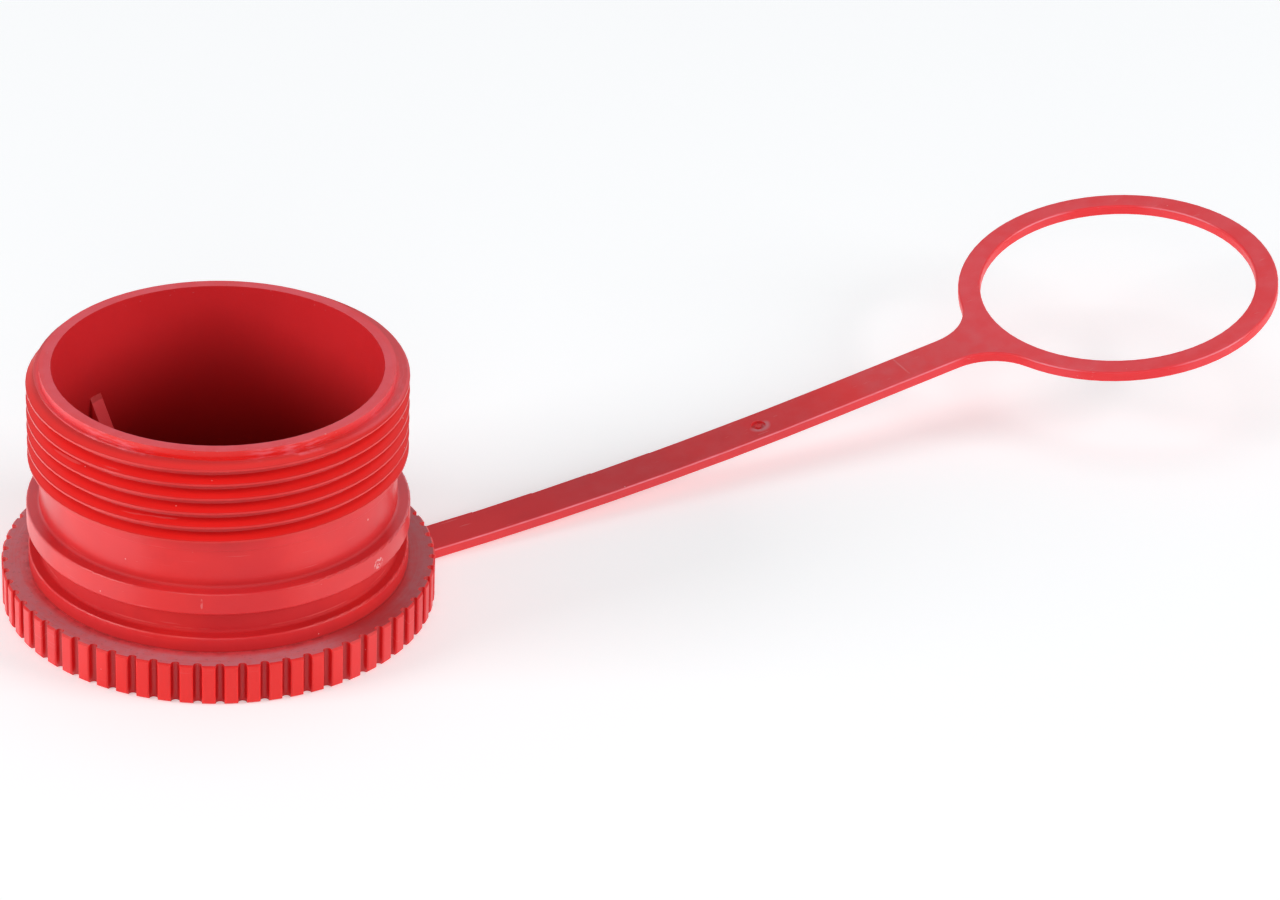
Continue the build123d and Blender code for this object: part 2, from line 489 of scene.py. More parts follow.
@dataclass
class CapForm:
    """Levels, radii and places of the moulding in millimetres.

    Those that the record's mounts give are read from the frame. The others are the moulding's own.
    """

    thread_radius: float = 0.0
    thread_low: float = 0.0
    thread_high: float = 0.0
    thread_depth: float = 1.23
    band_radius: float = 0.0
    band_middle: float = 0.0
    band_half: float = 0.0
    edge_round: float = 0.25
    seat_top: float = 7.5
    flange_top: float = 0.0
    flange_radius: float = 0.0
    rim_top: float = 0.0
    wall: float = 1.92
    witness_x: float = 101.5
    gate_x: float = 78.75
    gate_y: float = -2.96
    ring_x: float = 0.0
    ring_y: float = 0.0

    @classmethod
    def from_frame(cls) -> "CapForm":
        """Read the mounts' places and sizes.

        Returns:
            The form, with its fields filled in.
        """
        mounts = {mount["name"]: mount for mount in frame["record"]["mounts"]}
        thread, seal = mounts["thread"], mounts["seal_band"]
        middle = thread["pos_m"][2] / MM
        half = thread["dims"]["length_mm"] / 2
        ring = mounts["ring_hole"]["pos_m"]
        low_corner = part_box("protection_cap")[0]
        return cls(
            thread_radius=thread["dims"]["r_mm"],
            thread_low=middle - half,
            thread_high=middle + half,
            band_radius=seal["dims"]["r_mm"],
            band_middle=seal["pos_m"][2] / MM,
            band_half=seal["dims"]["length_mm"] / 2,
            flange_top=mounts["flange_seat"]["pos_m"][2] / MM,
            flange_radius=-low_corner[0] / MM,
            rim_top=mounts["mouth"]["pos_m"][2] / MM,
            ring_x=ring[0] / MM,
            ring_y=ring[1] / MM,
        )

    @property
    def root_radius(self) -> float:
        """Radius of the thread's root."""
        return self.thread_radius - self.thread_depth

    @property
    def mouth_radius(self) -> float:
        """Inner radius of the mouth."""
        return self.root_radius - self.wall

    @property
    def groove_top(self) -> float:
        """Level of the band's lower face, over the seal groove."""
        return self.band_middle - self.band_half - self.edge_round

    @property
    def ledge(self) -> float:
        """Level of the band's upper face."""
        return self.band_middle + self.band_half + self.edge_round


class PlasticCoat:
    """The red plastic as one node material, with its own treatment for each zone of the moulding.

    Bearings round the cup, and round the ring's centre for the ring's stretches of painted highlight, are in
    degrees from the X axis.
    """

    CHAFES = (
        Chafe((11.9, -21.2, 12.1), (1.00, 1.00, 0.75), 2.6, 0.9),
        Chafe((-12.4, -20.9, 12.5), (0.16, 0.16, 0.75), 1.2, 0.3),
    )
    DUST = (Specks(0.55, 0.035, 0.30), Specks(0.21, 0.022, 0.45))
    RUBBED = ((-163.0, -138.0), (-105.0, -80.0), (-60.0, -18.0), (30.0, 70.0))
    # Stretches of the ring's edges with painted highlights.
    HIGHLIGHT_SPANS = ((-157.0, -138.0), (-102.0, -75.0), (11.0, 44.0), (78.0, 104.0))
    # Stretch of tooth faces lightened as painted light.
    LIT_TEETH = (-155.0, -80.0)
    # Stretch of the flange's top with weaker painted sheen.
    DIM_SHEEN = (-80.0, -54.0)
    # Side of the flange's top darkened as painted shade.
    SHADED_SIDE = (-80.0, 40.0)

    def __init__(self, finish: RedPlastic, form: CapForm) -> None:
        """Start the material, its coordinates and its zones.

        Args:
            finish: The colours and gloss.
            form: The levels and radii that the zones follow.
        """
        self.finish, self.form = finish, form
        self.tint, self.film, self.wear = Tint(), Film(), Wear()
        self.material = bpy.data.materials.new("red_plastic")
        self.sheet = NodeSheet(self.material)
        self.coordinates()
        self.facing()
        self.cup_zones()
        self.thread_zones()
        self.flange_zones()
        self.shaded_crease = self.sheet.both(self.cup, self.outside, self.creases())
        self.cloud = self.patches(Mottle.CLOUD.value)

    def coordinates(self) -> None:
        """Set the place in millimetres, the radius, the bearing and the distance to the left or right."""
        sheet = self.sheet
        in_mm = sheet.vector("SCALE", sheet.node("ShaderNodeTexCoord").outputs["Object"])
        sheet.put(in_mm.inputs["Scale"], 1 / MM)
        self.place = in_mm.outputs[0]
        split = sheet.node("ShaderNodeSeparateXYZ")
        sheet.put(split.inputs[0], self.place)
        self.x, self.y, self.z = split.outputs
        self.radius = sheet.length(self.x, self.y)
        self.turn = sheet.math("DEGREES", sheet.math("ARCTAN2", self.y, self.x))
        self.aside = sheet.math("ABSOLUTE", sheet.minus(sheet.both(self.x, 0.90), sheet.both(self.y, 0.43)))

    def facing(self) -> None:
        """Set the masks that follow which way the surface faces, and the edges' rounded normal."""
        sheet = self.sheet
        self.normal = sheet.node("ShaderNodeNewGeometry").outputs["Normal"]
        split = sheet.node("ShaderNodeSeparateXYZ")
        sheet.put(split.inputs[0], self.normal)
        self.rise = split.outputs[2]
        self.upward = sheet.step(self.rise, 0.80, 0.96)
        rounded = sheet.node("ShaderNodeBevel", samples=4)
        sheet.put(rounded.inputs["Radius"], self.finish.edge_reach)
        self.rounded = rounded.outputs[0]

    def cup_zones(self) -> None:
        """Mask the cup, its inside and its gussets, and the tether."""
        sheet, form = self.sheet, self.form
        root, mouth, edge = form.root_radius, form.mouth_radius, form.flange_radius
        self.tether = sheet.step(self.radius, edge + 0.05, edge + 0.2)
        self.cup = sheet.rest(self.tether)
        self.inside = sheet.both(
            sheet.step(self.radius, root - 0.9, root - 1.2), sheet.step(self.z, 1.0, 1.6))
        self.outside = sheet.rest(self.inside)
        self.gusset = sheet.both(self.inside, sheet.step(self.radius, mouth - 0.38, mouth - 0.5))

    def thread_zones(self) -> None:
        """Mask the thread with its crests and roots, the plain lead over it and the rim."""
        sheet, form = self.sheet, self.form
        root, crest, high = form.root_radius, form.thread_radius, form.thread_high
        self.thread = sheet.both(
            sheet.band(self.z, form.thread_low, high, 0.1), sheet.step(self.radius, root - 0.15, root - 0.05))
        self.crest = sheet.both(self.thread, sheet.step(self.radius, crest - 0.13, crest - 0.05))
        self.root = sheet.both(self.thread, sheet.step(self.radius, root + 0.75, root + 0.1))
        self.rim = sheet.both(
            self.cup, self.upward, sheet.step(self.z, form.rim_top - 0.3, form.rim_top - 0.1))
        self.lead = sheet.both(self.cup, self.outside, sheet.step(self.z, high - 0.3, high - 0.1))

    def flange_zones(self) -> None:
        """Mask the flange's top, the faces of its teeth and the grooves between them."""
        sheet, top, edge = self.sheet, self.form.flange_top, self.form.flange_radius
        flange = sheet.both(self.cup, sheet.step(self.z, top + 0.15, top + 0.02))
        wall = sheet.both(flange, sheet.rest(self.upward))
        self.flange_face = sheet.both(flange, self.upward, sheet.step(self.z, top - 0.6, top - 0.3))
        self.tooth_groove = sheet.both(wall, sheet.step(self.radius, edge - 0.15, edge - 0.6))
        self.tooth_face = sheet.both(wall, sheet.step(self.radius, edge - 0.2, edge - 0.1))

    def creases(self) -> Socket:
        """Mask of the seal groove, the neck's foot and the seat's foot, soft above each, where shade is
        painted and the gloss is duller.

        Returns:
            The mask.
        """
        sheet, form = self.sheet, self.form
        band, flange, ledge = form.band_radius, form.flange_top, form.ledge
        groove = sheet.both(
            sheet.band(self.z, form.seat_top - 0.02, form.groove_top, 0.04),
            sheet.step(self.radius, band, band - 0.3))
        neck_foot = sheet.both(
            sheet.step(self.z, ledge - 0.01, ledge + 0.01), sheet.step(self.z, ledge + 1.35, ledge + 0.25))
        shaded_seat_foot = sheet.both(
            sheet.step(self.z, flange - 0.1, flange), sheet.step(self.z, form.seat_top, flange + 0.2),
            sheet.step(self.radius, band + 0.1, band), self.wear.shaded_seat_foot)
        return sheet.either(groove, neck_foot, shaded_seat_foot)

    def lathe(self, slow: float, fast: float) -> Socket:
        """Coordinates for marks that run round the cup.

        Args:
            slow: Scale along the turn.
            fast: Scale across it.

        Returns:
            The coordinates.
        """
        made = self.sheet.node("ShaderNodeCombineXYZ")
        across = self.sheet.plus(self.radius, self.z)
        for socket, value, scale in zip(made.inputs, (self.x, self.y, across), (slow, slow, fast)):
            self.sheet.put(socket, self.sheet.both(value, scale))
        return made.outputs[0]

    def noise(self, scale: float, detail: float, where: Socket | None = None) -> Socket:
        """Noise pattern.

        Args:
            scale: Cells in a millimetre.
            detail: Octaves.
            where: Coordinates, the plain place if left out.

        Returns:
            The pattern's value, about 0.5 on average.
        """
        made = self.sheet.node("ShaderNodeTexNoise")
        self.sheet.put(made.inputs["Vector"], where or self.place)
        self.sheet.put(made.inputs["Scale"], scale)
        self.sheet.put(made.inputs["Detail"], detail)
        return made.outputs[0]

    def patches(self, pattern: Patches) -> Socket:
        """Mask of uneven patches.

        Args:
            pattern: The scales and limits of the patches.

        Returns:
            The mask.
        """
        where = None
        if pattern.turned:
            where = self.lathe(*pattern.turned)
        elif pattern.stretch:
            where = self.sheet.vector("MULTIPLY", self.place, pattern.stretch).outputs[0]
        noise = self.noise(pattern.scale, pattern.detail, where)
        return self.sheet.step(noise, pattern.low, pattern.high, pattern.top)

    def stretches(self, bearing: Socket, spans: Sequence[Span], soft: float) -> Input:
        """Mask of several stretches round a circle.

        Args:
            bearing: The bearing, in degrees.
            spans: Where each stretch starts and ends.
            soft: Half the angle over which an end fades.

        Returns:
            The mask.
        """
        return self.sheet.either(*(self.sheet.band(bearing, start, end, soft) for start, end in spans))

    def scattered(self, specks: Specks) -> Socket:
        """Mask of scattered round specks.

        Args:
            specks: Their scale, size and share.

        Returns:
            The specks' mask.
        """
        sheet = self.sheet
        cells = sheet.node("ShaderNodeTexVoronoi")
        sheet.put(cells.inputs["Vector"], self.place)
        sheet.put(cells.inputs["Scale"], specks.scale)
        split = sheet.node("ShaderNodeSeparateColor")
        sheet.put(split.inputs[0], cells.outputs["Color"])
        chosen = sheet.step(split.outputs[0], specks.share + 0.01, specks.share - 0.01)
        reach = sheet.both(specks.size, sheet.plus(0.4, split.outputs[1]))
        near = sheet.math("LESS_THAN", cells.outputs["Distance"], reach)
        return sheet.both(chosen, near)

    def spot(self, chafe: Chafe) -> Input:
        """Soft ragged patch round one point.

        Args:
            chafe: The patch's place, size and strength.

        Returns:
            The patch's mask.
        """
        sheet = self.sheet
        away = sheet.vector("SUBTRACT", self.place, chafe.middle)
        scaled = sheet.vector("DIVIDE", away.outputs[0], chafe.reach)
        length = sheet.vector("LENGTH", scaled.outputs[0])
        within = sheet.step(length.outputs["Value"], 1.10, 0.80)
        flecks = self.patches(Patches(chafe.flecks, 3.0, 0.47, 0.55))
        return sheet.both(within, flecks, chafe.amount)

    def edge_wear_and_highlight(self) -> Input:
        """Mask of the sharp outer edges, broken up along them.

        Returns:
            The mask.
        """
        sheet, least = self.sheet, self.wear.edge_least
        bend = sheet.vector("DOT_PRODUCT", self.rounded, self.normal)
        corner = sheet.step(bend.outputs["Value"], 0.985, 0.90)
        broken = self.patches(Mottle.WORN_EDGE.value)
        return sheet.both(corner, sheet.plus(least, sheet.both(broken, 1.0 - least)))

    def reds(self) -> tuple[Layer, ...]:
        """The plastic's own reds, with painted light and painted shade among them, from the body's drift to
        the creases.

        Returns:
            The layers, from the lowest to the highest.
        """
        sheet, finish, tint, far = self.sheet, self.finish, self.tint, self.form.witness_x
        lit_teeth = sheet.plus(tint.tooth_aside, self.stretches(self.turn, (self.LIT_TEETH,), 14.0))
        return (
            Layer(finish.bright, self.patches(Mottle.BRIGHTER.value)),
            Layer(finish.deep, self.patches(Mottle.DEEPER.value)),
            # Painted light: the thread and the plain lead over it are lightened.
            Layer(finish.bright, sheet.both(sheet.either(self.thread, self.lead), tint.thread)),
            # Painted shade in the thread's roots, and darker crests.
            Layer(finish.deep, sheet.either(
                sheet.both(self.root, tint.root), sheet.both(self.crest, tint.crest))),
            # Painted shade in the grooves between the teeth.
            Layer(finish.deep, sheet.both(self.tooth_groove, tint.tooth_groove)),
            # Painted light on the tooth faces, strongest on one side.
            Layer(finish.bright, sheet.both(self.tooth_face, lit_teeth, tint.tooth_face)),
            Layer(finish.lining, sheet.both(self.inside, tint.inside)),
            # Painted shade: the inside darkens towards the cup's floor.
            Layer(finish.depth, sheet.both(
                self.inside, sheet.step(self.z, self.form.rim_top, 6.0)), Blend.MULTIPLY),
            # Painted light on the gusset's sloped face.
            Layer(finish.gusset, sheet.both(self.gusset, tint.gusset)),
            # Painted shade on the strap's top, darkest by the cup.
            Layer(finish.shaded_strap_red, sheet.both(
                self.tether, self.upward, sheet.step(self.x, far, far - 60.0, tint.strap))),
            # Painted light: the tether lightens towards the ring.
            Layer(finish.lit_ring_red, sheet.both(
                self.tether, sheet.step(self.x, far - 20.0, far + 12.0, tint.ring))),
            # Painted shade in the creases.
            Layer(finish.shaded_crease, self.shaded_crease, Blend.MULTIPLY),
        )

    def use(self, marks: Input) -> tuple[Layer, ...]:
        """Film, soiling, wear and dust, with painted sheen, painted highlights and painted shade.

        Args:
            marks: Mask of the chafes and scratches.

        Returns:
            The layers, from the lowest to the highest.
        """
        sheet, finish = self.sheet, self.finish
        return (
            # Greyish film and painted sheen on the flat tops.
            Layer(finish.veil_and_sheen, self.veil_and_sheen()),
            # Dirt spots, a darker corner at the seat, and painted shade on one side of the flange's top.
            Layer(finish.grime_and_shade, self.grime_and_shade(), Blend.MULTIPLY),
            # Rubbed paleness and painted sheen.
            Layer(finish.bloom_and_sheen, self.bloom_and_sheen()),
            # Painted highlight on the tether's rounded edges.
            Layer(finish.painted_highlight, self.painted_highlight()),
            # Pale sharp edges: wear and painted highlight.
            Layer(finish.edge, sheet.both(self.edge_wear_and_highlight(), sheet.rest(self.thread), self.wear.edge)),
            # Pale crests: wear and painted highlight.
            Layer(finish.edge, sheet.both(self.crest, self.patches(Mottle.WORN_CREST.value))),
            # Painted highlight lines on the band, the seat and the groove's foot.
            Layer(finish.edge, self.highlight_lines()),
            Layer(finish.scuff, marks),
            Layer(finish.dust, self.dust()),
        )

    def colour(self, marks: Input) -> Socket:
        """Reds of all the zones, with their wear and dust and with painted light and shade.

        Args:
            marks: Mask of the chafes and scratches.

        Returns:
            The base colour.
        """
        colour: Socket | Rgb = self.finish.body
        for layer in self.reds() + self.use(marks):
            colour = self.sheet.paint(colour, layer.colour, layer.amount, layer.blend)
        return colour

    def veil_and_sheen(self) -> Input:
        """Greyish film and painted sheen on the flat tops, thickest on the flange's rim, round the gate and
        by the ring.

        Returns:
            The film's mask.
        """
        sheet, film, band, far = self.sheet, self.film, self.form.band_radius, self.form.witness_x
        uneven = sheet.plus(film.flange, sheet.plus(
            sheet.both(self.patches(Mottle.FINE_FILM.value), film.flange_fine),
            sheet.both(self.patches(Mottle.TURNED_FILM.value), film.flange_turned)))
        outward = sheet.plus(
            film.flange_inner, sheet.step(self.radius, band, band + 1.5, film.flange_outer))
        outward = sheet.either(outward, sheet.step(self.aside, 22.5, 24.5, film.flange_side_sheen))
        dimmed = sheet.both(self.stretches(self.turn, (self.DIM_SHEEN,), 9.0), film.flange_dim_sheen)
        flange = sheet.both(self.flange_face, uneven, outward, sheet.rest(dimmed))
        neck = sheet.both(
            sheet.step(self.x, far - 13.0, far - 3.0), sheet.step(self.x, far + 19.0, far + 11.0),
            sheet.plus(film.neck, sheet.both(self.cloud, film.neck_cloud)))
        strap = sheet.both(
            sheet.step(self.x, 42.0, 56.0),
            sheet.plus(film.strap, sheet.both(self.cloud, film.strap_cloud)))
        tether = sheet.both(self.tether, self.upward, sheet.either(neck, strap, self.gate_halo()))
        return sheet.either(flange, tether, self.ledge_sheen())

    def ledge_sheen(self) -> Input:
        """Painted sheen on the ledge over the band, thickest at its two sides.

        Returns:
            The film's mask.
        """
        sheet, ledge = self.sheet, self.form.ledge
        level = sheet.band(self.z, ledge - 0.3, ledge + 0.35, 0.05)
        thick = sheet.plus(self.film.ledge, sheet.step(self.aside, 20.5, 23.0, self.film.ledge_side_sheen))
        return sheet.both(self.cup, self.outside, level, sheet.step(self.rise, 0.25, 0.60), thick)

    def gate_halo(self) -> Input:
        """Grey rubbed ring on one side of the gate's recess.

        Returns:
            The ring's mask.
        """
        sheet, form = self.sheet, self.form
        along, across = sheet.minus(self.x, form.gate_x), sheet.minus(self.y, form.gate_y)
        near = sheet.step(sheet.minus(sheet.both(along, 0.25), across), -0.7, 0.6)
        return sheet.both(sheet.band(sheet.length(along, across), 0.60, 1.50, 0.35), near, self.film.gate)

    def grime_and_shade(self) -> Input:
        """Darkening of the flange's top: painted shade on one side, a darker corner at the seat and small
        dirt spots.

        Returns:
            The soiling's mask.
        """
        sheet, band = self.sheet, self.form.band_radius
        side = sheet.both(self.stretches(self.turn, (self.SHADED_SIDE,), 10.0), self.wear.side_shade)
        corner = sheet.both(
            sheet.step(self.radius, band + 0.9, band), self.patches(Mottle.CORNER_GRIME.value))
        spots = sheet.both(self.patches(Mottle.GRIME_SPOTS.value), self.wear.grime_spots)
        return sheet.both(self.flange_face, sheet.either(side, corner, spots))

    def bloom_and_sheen(self) -> Input:
        """Pale look: rubbed wear and painted sheen on the rim, rubbed stretches and painted sheen at the
        sides of the shelf under it, and painted sheen on the ring's top and the tether's sides.

        Returns:
            The bloom's mask.
        """
        sheet, film = self.sheet, self.film
        rim = sheet.both(self.rim, sheet.plus(film.rim, sheet.both(self.cloud, film.rim_cloud)))
        rubbed = sheet.both(self.stretches(self.turn, self.RUBBED, 4.0), self.patches(Mottle.RAGGED.value))
        lead = sheet.both(self.lead, sheet.either(
            rubbed, sheet.step(self.aside, 13.0, 20.0, film.lead_side_sheen)))
        sides = sheet.both(
            self.tether, sheet.step(self.rise, 0.60, 0.30), self.lit_stretches(), film.tether_side_sheen)
        return sheet.either(rim, lead, self.ring_sheen(), sides)

    def ring_sheen(self) -> Input:
        """Pale painted sheen on the ring's top, stronger on the side of the strap.

        Returns:
            The film's mask.
        """
        sheet, film, far = self.sheet, self.film, self.form.witness_x
        near = sheet.step(self.x, far + 32.0, far + 14.0, film.ring_near)
        thick = sheet.plus(film.ring, near, sheet.both(self.cloud, film.ring_cloud))
        return sheet.both(self.tether, self.upward, sheet.step(self.x, far + 7.0, far + 18.0), thick)

    def lit_stretches(self) -> Input:
        """Mask of the strap and of the stretches of the ring whose edges get painted highlights and painted
        sheen.

        Returns:
            The mask.
        """
        sheet, form = self.sheet, self.form
        bearing = sheet.math("DEGREES", sheet.math(
            "ARCTAN2", sheet.minus(self.y, form.ring_y), sheet.minus(self.x, form.ring_x)))
        strap = sheet.step(self.x, form.witness_x + 9.0, form.witness_x + 5.0)
        return sheet.either(strap, self.stretches(bearing, self.HIGHLIGHT_SPANS, 5.0))

    def painted_highlight(self) -> Input:
        """Painted highlight along the tether's rounded upper edges.

        Returns:
            The line's mask.
        """
        sheet, wear = self.sheet, self.wear
        shown = sheet.plus(wear.highlight_least, sheet.both(self.lit_stretches(), wear.painted_highlight))
        broken = sheet.plus(wear.highlight_steady, self.patches(Mottle.SHINING_EDGE.value))
        return sheet.both(self.tether, sheet.band(self.rise, 0.36, 0.82, 0.10), shown, broken)

    def highlight_lines(self) -> Input:
        """Painted highlight lines along the edges of the band and the seat, and at the groove's foot.

        Returns:
            The lines' mask.
        """
        sheet, form, wear = self.sheet, self.form, self.wear
        corner, foot, inset = 0.07, 0.42, 0.15
        lines = (
            (form.band_radius - corner, form.ledge - corner, wear.band_line),
            (form.band_radius - inset - corner, form.seat_top - corner, wear.seat_line),
            (form.root_radius - inset, form.seat_top + foot, wear.groove_line),
        )
        drawn = []
        for radius, level, amount in lines:
            away = sheet.length(sheet.minus(self.radius, radius), sheet.minus(self.z, level))
            drawn.append(sheet.step(away, 0.13, 0.06, amount))
        return sheet.both(sheet.either(*drawn), self.cup, self.patches(Mottle.EDGE_LINE.value))

    def marks(self) -> Input:
        """Pale marks: chafed spots, hairlines, scratches, a chipped lead and the witness line.

        Returns:
            The marks' mask.
        """
        sheet, form = self.sheet, self.form
        spots = sheet.either(*(self.spot(chafe) for chafe in self.CHAFES))
        hairlines = sheet.both(self.patches(Mottle.HAIRLINES.value), self.cup, self.outside)
        scratches = sheet.both(self.patches(Mottle.SCRATCHES.value), self.tether)
        lead = sheet.both(
            self.cup, sheet.step(self.z, form.thread_high - 0.15, form.thread_high - 0.05),
            self.patches(Mottle.CHIPPED_LEAD.value))
        witness = sheet.both(
            self.tether, self.upward, sheet.band(self.x, form.witness_x - 0.1, form.witness_x + 0.1, 0.06),
            sheet.step(self.y, -4.9, -4.5), self.patches(Mottle.WITNESS.value))
        return sheet.either(spots, hairlines, scratches, lead, witness)

    def dust(self) -> Input:
        """Tiny pale specks, with the inside of the cup left clean.

        Returns:
            The specks' mask.
        """
        specks = self.sheet.either(*(self.scattered(kind) for kind in self.DUST))
        return self.sheet.both(specks, self.outside, self.wear.dust)

    def gloss(self, marks: Input) -> Socket:
        """Roughness: semi-gloss walls, matt flat tops, rubbed strap.

        Args:
            marks: Mask of the chafes and scratches.

        Returns:
            The roughness.
        """
        sheet, finish = self.sheet, self.finish
        zones = (
            (sheet.either(self.flange_face, self.rim), finish.matt_roughness),
            (self.tether, finish.strap_roughness),
            (self.shaded_crease, finish.crease_roughness),
            (self.tooth_face, finish.tooth_roughness),
        )
        rough: Input = finish.roughness
        for zone, own in zones:
            rough = sheet.plus(rough, sheet.both(zone, own - finish.roughness))
        drift = sheet.both(sheet.minus(self.noise(0.3, 4.0), 0.5), finish.roughness_drift)
        worn = sheet.both(marks, finish.scuff_roughness)
        return sheet.math("ADD", sheet.plus(rough, drift), worn, clamp=True)

    def bump(self, depth: float, height: Input, normal: Socket) -> Socket:
        """Raise or sink the surface by a pattern.

        Args:
            depth: Height of the pattern in metres.
            height: The pattern.
            normal: The normal that it starts from.

        Returns:
            The new normal.
        """
        made = self.sheet.node("ShaderNodeBump")
        for name, value in (("Distance", depth), ("Height", height), ("Normal", normal)):
            self.sheet.put(made.inputs[name], value)
        return made.outputs[0]

    def relief(self) -> Socket:
        """Rounded edges, slight waviness of the walls and a fine grain.

        Returns:
            The shading normal.
        """
        sheet, finish = self.sheet, self.finish
        wavy = self.bump(finish.wave_depth, self.noise(0.22, 2.0), self.rounded)
        turned = self.noise(1.0, 2.0, self.lathe(0.15, 4.0))
        grain = sheet.plus(sheet.both(self.noise(3.2, 3.0), 0.7), sheet.both(turned, self.cup, 0.5))
        return self.bump(finish.grain_depth, grain, wavy)

    def build(self) -> bpy.types.Material:
        """Join colour, gloss and relief in one shader.

        Returns:
            The finished material.
        """
        sheet, finish = self.sheet, self.finish
        shader = sheet.node("ShaderNodeBsdfPrincipled")
        out = sheet.node("ShaderNodeOutputMaterial")
        marks = self.marks()
        values = {
            "Base Color": self.colour(marks),
            "Roughness": self.gloss(marks),
            "Normal": self.relief(),
            "IOR": finish.ior,
            "Subsurface Weight": finish.glow,
            "Subsurface Radius": finish.glow_reach,
            "Subsurface Scale": finish.glow_depth,
        }
        for name, value in values.items():
            sheet.put(shader.inputs[name], value)
        sheet.put(out.inputs["Surface"], shader.outputs[0])
        return self.material


@dataclass
class ProtectionCap:
    """The moulding: a finished copy of the solid, with its seat at its true size.

    The seat's radii and its drop are in millimetres, as is the weld, and the smoothing angle in degrees.
    """

    node_name: str = "protection_cap"
    piece_name: str = "red_moulding"
    weld: float = 0.001
    solid_seat_radius: float = 25.0
    seat_radius: float = 24.15
    seat_drop: float = 0.5
    smooth_angle: float = 24.0
    form: CapForm = field(default_factory=CapForm.from_frame)
    finish: RedPlastic = field(default_factory=RedPlastic)

    def build(self) -> None:
        """Shape the moulding, set it in the solid's place and give it its material."""
        mesh = frame["nodes"][self.node_name].data.copy()
        piece = bpy.data.objects.new(self.piece_name, mesh)
        bpy.context.scene.collection.objects.link(piece)
        bpy.ops.object.select_all(action="DESELECT")
        piece.select_set(True)
        bpy.context.view_layer.objects.active = piece
        bpy.ops.mesh.customdata_custom_splitnormals_clear()
        bpy.ops.object.mode_set(mode="EDIT")
        bpy.ops.mesh.select_all(action="SELECT")
        bpy.ops.mesh.remove_doubles(threshold=self.weld * MM)
        self.narrow_seat(mesh)
        bpy.ops.object.mode_set(mode="OBJECT")
        self.smooth(piece)
        mesh.materials.clear()
        mesh.materials.append(PlasticCoat(self.finish, self.form).build())
        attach(piece, "root")
        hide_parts(self.node_name)
        LOG.info("%s: %d faces, red plastic", piece.name, len(mesh.polygons))

    def pick(self, mesh: bpy.types.Mesh, zone: TurnedZone) -> None:
        """Select the vertices that lie in a zone round the axis.

        Args:
            mesh: The mesh, in edit mode.
            zone: The zone.
        """
        bpy.ops.mesh.select_mode(type="VERT")
        bpy.ops.mesh.select_all(action="DESELECT")
        shape = bmesh.from_edit_mesh(mesh)
        for vert in shape.verts:
            if zone.holds(vert.co):
                vert.select_set(True)
        shape.select_flush_mode()
        bmesh.update_edit_mesh(mesh)

    def narrow_seat(self, mesh: bpy.types.Mesh) -> None:
        """Draw the seat's wall inwards, then lower its top and the groove's foot.

        Args:
            mesh: The mesh, in edit mode.
        """
        wide, foot, top = self.solid_seat_radius, self.form.flange_top, self.form.seat_top + self.seat_drop
        self.pick(mesh, TurnedZone(inner=wide - 0.5, outer=wide + 0.05, bottom=foot - 0.1, top=top + 0.05))
        share = self.seat_radius / wide
        bpy.ops.transform.resize(value=(share, share, 1.0), center_override=(0.0, 0.0, 0.0))
        self.pick(mesh, TurnedZone(inner=wide - 2.5, outer=wide, bottom=top - 0.3, top=top + 0.45))
        bpy.ops.transform.translate(value=(0.0, 0.0, -self.seat_drop * MM))

    def smooth(self, piece: bpy.types.Object) -> None:
        """Smooth the curved walls and keep the flats flat.

        Args:
            piece: The moulding, selected and active.
        """
        bpy.ops.object.shade_smooth_by_angle(angle=math.radians(self.smooth_angle))
        bpy.ops.object.modifier_add(type="WEIGHTED_NORMAL")
        piece.modifiers[-1].keep_sharp = True
        bpy.ops.object.modifier_apply(modifier=piece.modifiers[-1].name)


@dataclass
class ViewCamera:
    """Camera that looks down on the cap.

    Bearing, aim, dip and roll are in degrees, reach, height, near and far in metres, and the lens and sensor
    in millimetres.
    """

    bearing: float = -115.56
    reach: float = 0.5416
    height: float = 0.32825
    aim: float = 58.81
    dip: float = 29.51
    roll: float = 2.504
    lens: float = 138.3
    sensor: float = 36.0
    near: float = 0.01
    far: float = 20.0

    def build(self) -> None:
        """Create the camera, place it and make it the scene's."""
        data = bpy.data.cameras.new("view_camera")
        data.sensor_width = self.sensor
        data.lens = self.lens
        data.clip_start = self.near
        data.clip_end = self.far
        camera = bpy.data.objects.new("view_camera", data)
        bpy.context.scene.collection.objects.link(camera)
        camera.matrix_world = Matrix.Translation(self.place()) @ self.turn().to_4x4()
        bpy.context.scene.camera = camera
        LOG.info("camera: %.1f mm lens, %.1f degrees down", self.lens, self.dip)

    def place(self) -> Vector:
        """Where the camera stands."""
        bearing = math.radians(self.bearing)
        return Vector((self.reach * math.cos(bearing), self.reach * math.sin(bearing), self.height))

    def turn(self) -> Matrix:
        """Direction the camera faces, as a rotation.

        Returns:
            The rotation whose columns are right, up and back.
        """
        aim, dip, roll = (math.radians(angle) for angle in (self.aim, self.dip, self.roll))
        forward = Vector((math.cos(aim) * math.cos(dip), math.sin(aim) * math.cos(dip), -math.sin(dip)))
        level = forward.cross(Vector((0, 0, 1))).normalized()
        upright = level.cross(forward)
        right = level * math.cos(roll) + upright * math.sin(roll)
        up = upright * math.cos(roll) - level * math.sin(roll)
        return Matrix((right, up, -forward)).transposed()


